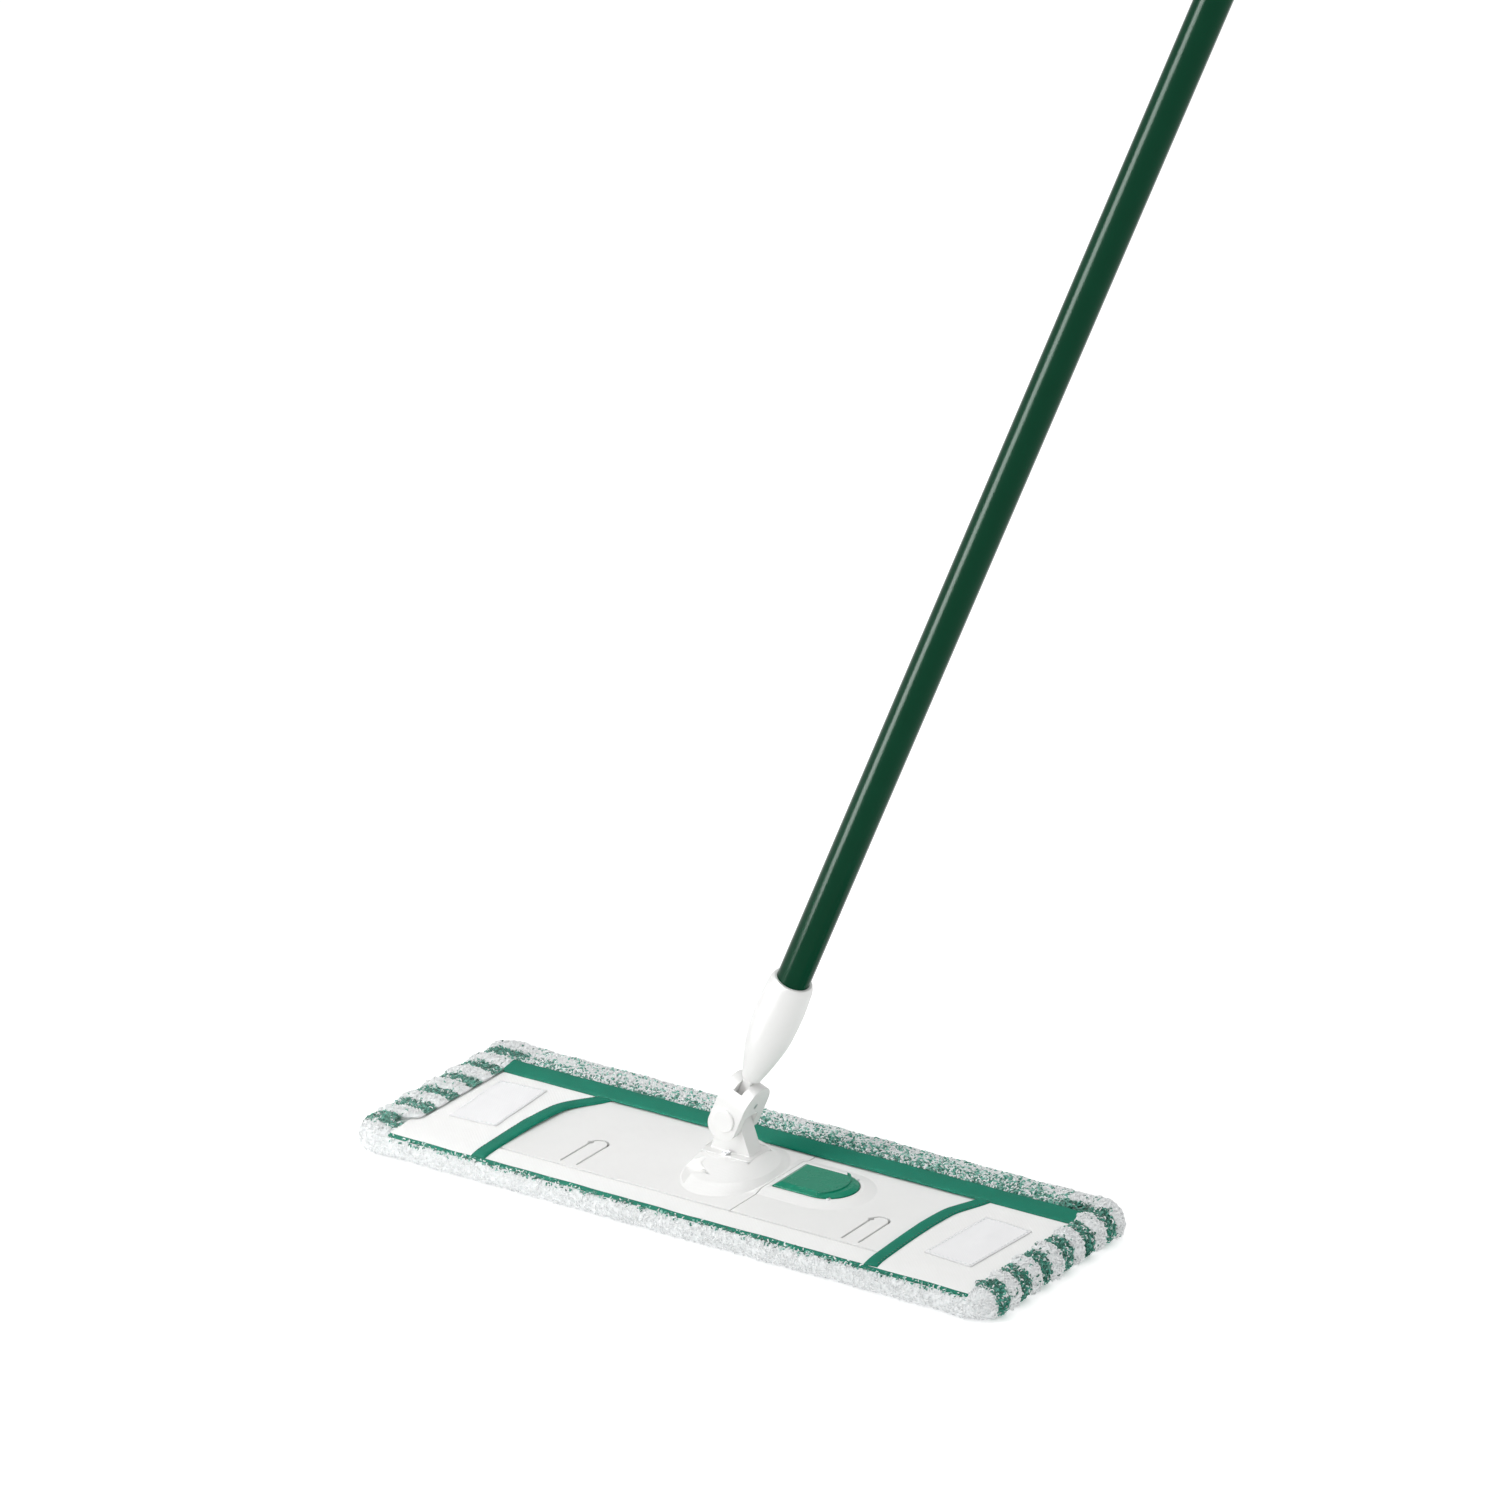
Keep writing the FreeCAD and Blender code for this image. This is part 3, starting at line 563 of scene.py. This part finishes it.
def pad_loops(body, weight):
    """White and green loops over the pile, and the mixed row outside the near piping."""
    where, normal = sample_surface(body, weight, LOOPS)
    jitter = rng.normal(0, 1.0 * MM, len(where))
    green = stripe(where[:, 1] + jitter) > 0.5
    stray = rng.random(len(where))
    side = np.abs(where[:, 0]) < PLATE_X - 6 * MM
    far = (where[:, 1] > HALF_Y - 40 * MM) & side
    inner = np.clip((HALF_Y - where[:, 1]) / (32 * MM), 0, 1)
    share = (0.16 + 0.5 * inner) * np.interp(where[:, 0], (-0.2, -0.06, 0.05), (0.45, 0.6, 1.0))
    green = np.where(far, stray < share, green)
    flecks = np.where(green, 0.86, 0.97)
    green = np.where(~far & (where[:, 1] > -HALF_Y + 12 * MM) & (stray > flecks), ~green, green)

    count = ROW_LOOPS
    x = rng.uniform(-CLOTH_END, CLOTH_RIGHT, count)
    depth = rng.uniform(2.2, TRIM_DEPTH + 1.4, count)
    height = np.interp(depth, (1.1, 3.4, 7.5), (11.8, 14.6, 16.9))
    row = np.column_stack([x, -HALF_Y + depth * MM, height * MM])
    row_normal = np.tile([0, -0.64, 0.77], (count, 1))
    row_green = rng.random(count) < 0.62

    where = np.concatenate([where, row])
    normal = np.concatenate([normal, row_normal])
    green = np.concatenate([green, row_green])
    tone = rng.random(len(where))
    # loops in the far band take the upper, paler tones; green loops elsewhere are darkened, mostly short of
    # the green yarn's painted highlight
    tone = np.where(np.concatenate([far, np.zeros(count, bool)]), 0.3 + 0.7 * tone, tone)
    tone = np.where(np.concatenate([~far & green[:len(far)], np.zeros(count, bool)]), 0.75 * tone, tone)
    left = where[:, 0] < 0
    size = np.where(normal[:, 1] < -0.3, 0.72, 0.95) * MM
    size[len(far):] = 0.85 * MM
    made = []
    for name, chosen, material in (("pile_loops_white_left", ~green & left, WHITE_LOOPS),
                                   ("pile_loops_white_right", ~green & ~left, WHITE_LOOPS),
                                   ("pile_loops_green_left", green & left, GREEN_LOOPS),
                                   ("pile_loops_green_right", green & ~left, GREEN_LOOPS)):
        part = size[chosen]
        made.append(loops(name, where[chosen], normal[chosen], 2.4 * part, 1.4 * part, 0.55 * part,
                          tone[chosen], material))
    return made


def tape_height(t):
    """Height of the far tape's top, mm, from its near edge (t = 0) to its far one (t = 1)."""
    return TAPE_Z + TAPE_RISE * t + TAPE_CROWN * math.sin(math.pi * t)


def far_tape():
    """Flat green tape that covers the pile's far inner edge."""
    rows, columns = 260, 14
    x = np.linspace(TAPE_LOW.x - 4 * MM, CLOTH_RIGHT + 5 * MM, rows)
    y0, y1 = TAPE_LOW.y, TAPE_HIGH.y + 0.6 * MM
    verts = []
    for xi in x:
        ripple = 0.25 * noise.noise(Vector((xi / (26 * MM), 3.1, 0)))
        for t in np.linspace(0, 1, columns):
            y = y0 + (y1 - y0) * t + ripple * MM
            lift = tape_height(t) + 0.35 * noise.noise(Vector((xi / (17 * MM), t * 1.3, 5)))
            if t == 0:
                lift -= TAPE_TUCK
            verts.append((xi, y, lift * MM))
    obj = new_mesh("border_tape_far", verts, grid_faces(rows, columns))
    obj.data.materials.append(TAPE)
    thicken(obj, 0.9 * MM)
    return obj, x, y0, y1


def thicken(obj, thickness, offset=-1.0):
    """Gives a sheet its cloth's thickness and keeps it in the mesh."""
    modifier = obj.modifiers.new("thickness", "SOLIDIFY")
    modifier.thickness = thickness
    modifier.offset = offset
    apply_modifiers(obj)


def apply_modifiers(obj):
    depsgraph = bpy.context.evaluated_depsgraph_get()
    mesh = bpy.data.meshes.new_from_object(obj.evaluated_get(depsgraph))
    obj.modifiers.clear()
    obj.data = mesh


def pocket_edge(y, side):
    """X of a pocket's open edge at y: nearly straight, then curving towards +X at the far end."""
    x0, bow = [pair[0] if side < 0 else pair[1] for pair in (POCKET_MOUTH, POCKET_BOW)]
    t = smooth((y - 2 * MM) / (46 * MM))
    sway = 1.6 * MM * math.sin(y / (31 * MM))
    return x0 + bow * t ** 1.3 + sway


def pocket_end(side):
    """X of a pocket's hidden end, under the pad's roll."""
    return -HALF_X + POCKET_TUCK[0] if side < 0 else HALF_X - POCKET_TUCK[1]


def pocket_height(x, y, side):
    """Height of a pocket's cloth, lying on the plate and over the near edge, with soft creases."""
    base = CLOTH_Z if y > -PLATE_Y - 2 * MM else min(near_height(y) + 0.45 * MM, CLOTH_Z)
    inside = abs(x) - abs(pocket_edge(y, side))
    mouth = math.exp(-(max(inside, 0) / (15 * MM)) ** 2)
    span = math.sin(math.pi * min(max((y + 62 * MM) / (100 * MM), 0), 1)) ** 1.5
    gape = 1.5 * mouth * span
    away = min(max((abs(x) - 196 * MM) / (14 * MM), 0), 1)
    long_crease = max(0, noise.noise(Vector((x / (16 * MM), y / (60 * MM), 2.5 + side)))) ** 1.2
    cross = max(0, noise.noise(Vector((x / (45 * MM) + 9, y / (13 * MM), side)))) ** 1.5
    return base + (gape + (1.5 * long_crease + 0.7 * cross) * span * (1 - away)) * MM


def pocket(side):
    """A pocket's cloth, from its open edge to under the pad's end and far tape."""
    name = "pocket_left" if side < 0 else "pocket_right"
    rows, columns = 96, 60
    end = pocket_end(side)
    verts = []
    for y in np.linspace(-HALF_Y + 6.0 * MM, TAPE_LOW.y + 6 * MM, rows):
        edge = pocket_edge(y, side)
        for t in np.linspace(0, 1, columns):
            x = edge + (end - edge) * t
            verts.append((x, y, pocket_height(x, y, side)))
    faces = grid_faces(rows, columns)
    if side < 0:
        faces = [f[::-1] for f in faces]
    obj = new_mesh(name, verts, faces)
    obj.data.materials.append(CLOTH)
    thicken(obj, 0.6 * MM, 1.0)
    return obj


def binding(side):
    """Green binding folded over a pocket's open edge."""
    name = "pocket_binding_left" if side < 0 else "pocket_binding_right"
    section = [(-5.0, -0.5), (-5.2, 0.5), (-4.6, 1.25), (-2.4, 1.5), (0, 1.5), (2.6, 1.45), (4.4, 1.25),
               (4.9, 0.75), (4.7, 0.62), (0, 0.62), (-3.6, 0.5), (-4.3, -0.5)]
    verts = []
    rows = 110
    ys = np.linspace(-HALF_Y + 6.5 * MM, TAPE_LOW.y + 5 * MM, rows)
    for y in ys:
        x = pocket_edge(y, side)
        slope = (pocket_edge(y + MM, side) - pocket_edge(y - MM, side)) / (2 * MM)
        length = math.hypot(1, slope)
        out = Vector((1 / length, -slope / length, 0)) * side
        z = pocket_height(x, y, side)
        for w, up in section:
            p = Vector((x, y, 0)) + out * (w + 1.5) * MM
            inner = pocket_height(p.x, p.y, side) if w > -4 else z
            verts.append((p.x, p.y, inner * 0.5 + z * 0.5 + up * MM))
    faces = grid_faces(rows, len(section), True)
    n = len(section)
    faces += [tuple(range(n))[::-1], tuple(range((rows - 1) * n, rows * n))]
    obj = new_mesh(name, verts, faces)
    obj.data.materials.append(BINDING)
    recalc(obj)
    return obj


def recalc(obj):
    """Turns all faces outwards."""
    bm = bmesh.new()
    bm.from_mesh(obj.data)
    bmesh.ops.recalc_face_normals(bm, faces=bm.faces)
    bm.to_mesh(obj.data)
    bm.free()


def label(side):
    """Plain woven label sewn on a pocket."""
    name = "pocket_label_left" if side < 0 else "pocket_label_right"
    low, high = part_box("pocket_label_main" if side < 0 else "pocket_label_wing")
    centre = (low + high) / 2
    half = (high - low) / 2
    turn = Matrix.Rotation(math.radians(-4 if side > 0 else 5), 2)
    rows, columns = 40, 26
    verts = []
    for v in np.linspace(-1, 1, rows):
        for u in np.linspace(-1, 1, columns):
            p = turn @ Vector((u * half.x, v * half.y))
            x, y = centre.x + p.x, centre.y + p.y
            crumple = (0.9 if side < 0 else 0.35) * max(0, noise.noise(Vector((x, y * 0.5, 0)) / (11 * MM)))
            hem = 0.25 if max(abs(u), abs(v)) > 0.9 else 0.0
            verts.append((x, y, pocket_height(x, y, side) + (0.68 + crumple + hem) * MM))
    obj = new_mesh(name, verts, grid_faces(rows, columns))
    obj.data.materials.append(LABEL)
    thicken(obj, 0.4 * MM, 1.0)
    return obj, turn, centre, half


def stitches(name, runs, material, length=2.3 * MM, gap=1.1 * MM, thick=0.3 * MM):
    """Rows of sewn stitches along runs of points: short rounded threads that dip at both ends."""
    verts, faces = [], []
    sides = 5
    shape = [(-0.5, 0.35, -0.45), (-0.36, 1.0, 0.12), (0, 1.1, 0.3), (0.36, 1.0, 0.12), (0.5, 0.35, -0.45)]
    for run in runs:
        run = np.array(run)
        step = np.linalg.norm(np.diff(run, axis=0), axis=1)
        total = np.concatenate([[0], np.cumsum(step)])
        for s in np.arange(gap, total[-1] - length, length + gap):
            mid = np.array([np.interp(s + length / 2, total, run[:, i]) for i in range(3)])
            ahead = np.array([np.interp(s + length, total, run[:, i]) for i in range(3)])
            along = (ahead - mid) / max(np.linalg.norm(ahead - mid), 1e-9)
            side = np.cross(along, [0, 0, 1])
            side /= max(np.linalg.norm(side), 1e-9)
            up = np.cross(side, along)
            base = len(verts)
            for t, r, lift in shape:
                for j in range(sides):
                    turn = 2 * math.pi * j / sides
                    verts.append(mid + along * t * length + up * (lift * MM * 0.6)
                                 + (side * math.cos(turn) + up * math.sin(turn)) * thick * r)
            for k in range(len(shape) - 1):
                for j in range(sides):
                    i = (j + 1) % sides
                    faces.append((base + k * sides + j, base + k * sides + i,
                                  base + (k + 1) * sides + i, base + (k + 1) * sides + j))
            faces.append(tuple(base + j for j in range(sides))[::-1])
            faces.append(tuple(base + (len(shape) - 1) * sides + j for j in range(sides)))
    obj = new_mesh(name, verts, faces)
    obj.data.materials.append(material)
    return obj


def near_piping():
    """Thin green piping along the near edge, between the cloth and the pile."""
    x = np.linspace(-CLOTH_END - 2 * MM, CLOTH_RIGHT + 1 * MM, 240)
    section = [(-1.7, 0.0), (-1.5, 0.75), (-0.6, 1.15), (0.6, 1.15), (1.5, 0.75), (1.7, 0.0), (0, -0.5)]
    verts = []
    for xi in x:
        wander = noise.noise(Vector((xi / (30 * MM), 0, 7)))
        depth = TRIM_DEPTH + 1.2 + 0.7 * wander
        z = np.interp(depth, (3.4, 7.5, 13), (14.2, 16.2, 17.0))
        tilt = math.radians(26)
        for w, up in section:
            verts.append((xi, -HALF_Y + (depth + w * math.cos(tilt) - up * math.sin(tilt) * 0.4) * MM,
                          (z + w * math.sin(tilt) + up) * MM))
    n = len(section)
    faces = grid_faces(len(x), n, True) + [tuple(range(n))[::-1], tuple(range((len(x) - 1) * n, len(x) * n))]
    obj = new_mesh("border_piping_near", verts, faces)
    obj.data.materials.append(TAPE)
    recalc(obj)
    return obj


def build_pad():
    body, weight = pad_body()
    tufts = pad_loops(body, weight)
    tape, xs, y0, y1 = far_tape()
    piping = near_piping()
    rows = []
    for t in (0.12, 0.86):
        y = y0 + (y1 - y0) * t
        rows.append([(x, y, (tape_height(t) + 0.08) * MM) for x in xs])
    seam = stitches("tape_stitches", rows, THREAD_GREEN)

    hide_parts("pad_pile_main", "pad_pile_wing", "pad_backing_main", "pad_backing_wing",
                "pad_edge_roll_main", "pad_edge_roll_wing")
    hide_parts("border_tape_far_main", "border_tape_far_wing")
    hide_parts("border_tape_near_main", "border_tape_near_wing")
    for obj in [body] + tufts:
        cross_fold(obj)
    for obj in (tape, piping, seam):
        cross_fold(obj)

    for side, body_name, node_end in ((-1, "head", "main"), (1, "wing", "wing")):
        cloth = pocket(side)
        edge = binding(side)
        patch, turn, centre, half = label(side)
        ys = np.linspace(-HALF_Y + 8 * MM, TAPE_LOW.y + 2 * MM, 90)
        run = []
        for y in ys:
            x = pocket_edge(y, side) + side * 5.3 * MM
            run.append((x, y, pocket_height(x, y, side) + 1.32 * MM))
        hem = stitches(f"binding_stitches_{cloth.name[7:]}", [run], THREAD_GREEN)
        corners = [(-1, -1), (1, -1), (1, 1), (-1, 1), (-1, -1)]
        path = []
        for (u0, v0), (u1, v1) in zip(corners, corners[1:]):
            for t in np.linspace(0, 1, 30):
                p = turn @ Vector(((u0 + (u1 - u0) * t) * (half.x - 1.5 * MM),
                                   (v0 + (v1 - v0) * t) * (half.y - 1.5 * MM)))
                x, y = centre.x + p.x, centre.y + p.y
                path.append((x, y, pocket_height(x, y, side) + 1.4 * MM))
        sewing = stitches(f"label_stitches_{cloth.name[7:]}", [path], THREAD_WHITE)
        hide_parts(f"pocket_{node_end}")
        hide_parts(f"pocket_binding_{node_end}")
        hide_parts(f"pocket_label_{node_end}")
        for obj, name in ((cloth, "white_twill"), (edge, "green_tape"), (patch, "label_cloth"),
                          (hem, "green_tape"), (sewing, "label_cloth")):
            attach(obj, body_name)


# ======================================= hard parts ===================================


def paint_nodes():
    """Materials of the CAD nodes that stay."""
    plate = plastic_material("plate_plastic", (0.87, 0.87, 0.86), (0.82, 0.82, 0.81), dots=0.05)
    white = plastic_material("white_plastic", (0.80, 0.80, 0.79), (0.76, 0.76, 0.75), edge=0.7)
    green = plastic_material("pedal_plastic", (0.001, 0.235, 0.135), (0.002, 0.2, 0.115), (0.2, 0.34),
                             edge=0.8, coat=0.1, specular=0.15)
    dark = plastic_material("cap_plastic", (0.0015, 0.055, 0.027), (0.003, 0.07, 0.035), (0.35, 0.5),
                            edge=0.6)
    steel = steel_material()
    paint = paint_material()
    table = {"frame_main": plate, "frame_wing": plate, "joint_foot": white, "yoke": white,
             "yoke_pin_caps": white, "handle_socket": white, "release_pedal": green, "hanging_cap": dark,
             "handle_tube": paint, "fold_pins": steel, "foot_screws": steel, "pedal_pin": steel,
             "pedal_spring": steel, "yoke_pin": steel, "tilt_pin": steel, "socket_screw": steel}
    for name, material in table.items():
        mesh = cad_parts[name].data
        mesh.materials.clear()
        mesh.materials.append(material)


# ======================================= stage ========================================

YAW, PITCH = math.radians(33.55), math.radians(20.75)     # the photo's viewing angle
DISTANCE = 4.516
LENS = 168, 36                                             # focal length and sensor width, mm
TUBE_ACROSS = 20 * MM                                      # the tube's width in X, leaning
STRIPE_ANGLE, STRIPE_AWAY, STRIPE_SIZE, STRIPE_POWER = 33, 0.62, (0.28, 1.05), 36
AIM_RIGHT, AIM_UP = 0.009, 0.2835                          # view centre from the frame's origin


def camera():
    forward = Vector((-math.sin(YAW) * math.cos(PITCH), math.cos(YAW) * math.cos(PITCH), -math.sin(PITCH)))
    right = Vector((math.cos(YAW), math.sin(YAW), 0))
    up = right.cross(forward)
    data = bpy.data.cameras.new("camera")
    data.lens, data.sensor_width = LENS
    obj = bpy.data.objects.new("camera", data)
    bpy.context.scene.collection.objects.link(obj)
    turn = Matrix((right, up, -forward)).transposed()
    place = right * AIM_RIGHT + up * AIM_UP - forward * DISTANCE
    obj.matrix_world = Matrix.Translation(place) @ turn.to_4x4()
    data.clip_end = 100
    bpy.context.scene.camera = obj
    return right, forward


def area_light(name, size, power):
    data = bpy.data.lights.new(name, "AREA")
    data.shape = "RECTANGLE"
    data.size, data.size_y = size
    data.energy = power
    obj = bpy.data.objects.new(name, data)
    bpy.context.scene.collection.objects.link(obj)
    return obj


def lamp(name, where, aim, size, power):
    obj = area_light(name, size, power)
    obj.location = where
    obj.rotation_euler = (Vector(aim) - Vector(where)).to_track_quat("-Z", "Y").to_euler()


def floor():
    """A large pale disc just under the pad."""
    size, rim, drop = 30, 64, -0.4 * MM
    verts = [(0, 0, drop)]
    for k in range(rim):
        a = 2 * math.pi * k / rim
        verts.append((size * math.cos(a), size * math.sin(a), drop))
    faces = [(0, k + 1, (k + 1) % rim + 1) for k in range(rim)]
    obj = new_mesh("floor", verts, faces, False)
    s = Shader("floor_white")
    s.colour(s.mix(s.noise(s.place(), 2.0), (0.94, 0.94, 0.94), (0.96, 0.96, 0.96)))
    s.set(Roughness=0.9, Specular_IOR_Level=0.1, Emission_Color=(1, 1, 1, 1), Emission_Strength=0.33)
    obj.data.materials.append(s.material)


def light(right, forward):
    scene = bpy.context.scene
    scene.view_settings.view_transform = "Standard"
    world = bpy.data.worlds.new("studio")
    scene.world = world
    world.use_nodes = True
    world.node_tree.nodes["Background"].inputs["Color"].default_value = (1, 1, 1, 1)
    world.node_tree.nodes["Background"].inputs["Strength"].default_value = 0.64
    back = Vector((-forward.x, -forward.y, 0)).normalized()
    aim = (0.1, 0, 0.35)

    def around(angle, distance, height):
        a = math.radians(angle)
        return back * (math.cos(a) * distance) + right * (math.sin(a) * distance) + Vector((0, 0, height))

    lamp("key", around(-68, 3.2, 2.2), aim, (0.5, 2.6), 30)
    lamp("fill", around(34, 4.0, 2.0), aim, (0.6, 2.4), 8)
    lamp("top", (0, 0, 4.0), (0, 0, 0), (3.5, 3.5), 40)
    gleam(forward)


def gleam(forward):
    """A long strip beside the handle, seen only in glossy surfaces, that draws the tube's bright stripe."""
    low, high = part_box("handle_tube")
    axis = Vector((high.x - low.x - TUBE_ACROSS, 0, high.z - low.z)).normalized()
    view = -forward
    side = (view - axis * view.dot(axis)).normalized()
    normal = Matrix.Rotation(-math.radians(STRIPE_ANGLE), 3, axis) @ side
    toward = 2 * normal.dot(view) * normal - view
    middle = Vector(((low.x + high.x) / 2, 0, (low.z + high.z) / 2)) + toward * STRIPE_AWAY
    turn = Matrix((axis.cross(normal), axis, normal)).transposed()
    obj = area_light("gleam", STRIPE_SIZE, STRIPE_POWER)
    obj.matrix_world = Matrix.Translation(middle) @ turn.to_4x4()
    obj.visible_camera = False
    obj.visible_diffuse = False


CLOTH = cloth_material("pocket_twill", (0.88, 0.88, 0.875), (0.81, 0.81, 0.80))
LABEL = cloth_material("label_satin", (0.88, 0.88, 0.885), (0.8, 0.8, 0.81), twill=2400, depth=0.06)
TAPE = tape_material("border_tape", (0.002, 0.135, 0.085), (0.006, 0.235, 0.15))
BINDING = tape_material("binding_tape", (0.002, 0.14, 0.088), (0.006, 0.245, 0.155), "Y")
THREAD_GREEN = yarn_material("thread_green", [(0, GREEN_DARK), (1, GREEN_MID)])
THREAD_WHITE = yarn_material("thread_white", [(0, WHITE_SHADE), (1, WHITE_YARN)])
WHITE_LOOPS = yarn_material("white_yarn", [(0, WHITE_SHADE), (0.35, (0.85, 0.87, 0.875)),
                                           (1, (0.92, 0.93, 0.93))])
# green yarn: loops differ in tone at random, and its palest tones, the last two stops, are painted highlight
GREEN_LOOPS = yarn_material("green_yarn", [(0, GREEN_DARK), (0.45, GREEN_MID), (0.8, GREEN_PALE_HIGHLIGHT),
                                           (1, (0.5, 0.75, 0.68))])

build_pad()
paint_nodes()
floor()
RIGHT, FORWARD = camera()
light(RIGHT, FORWARD)
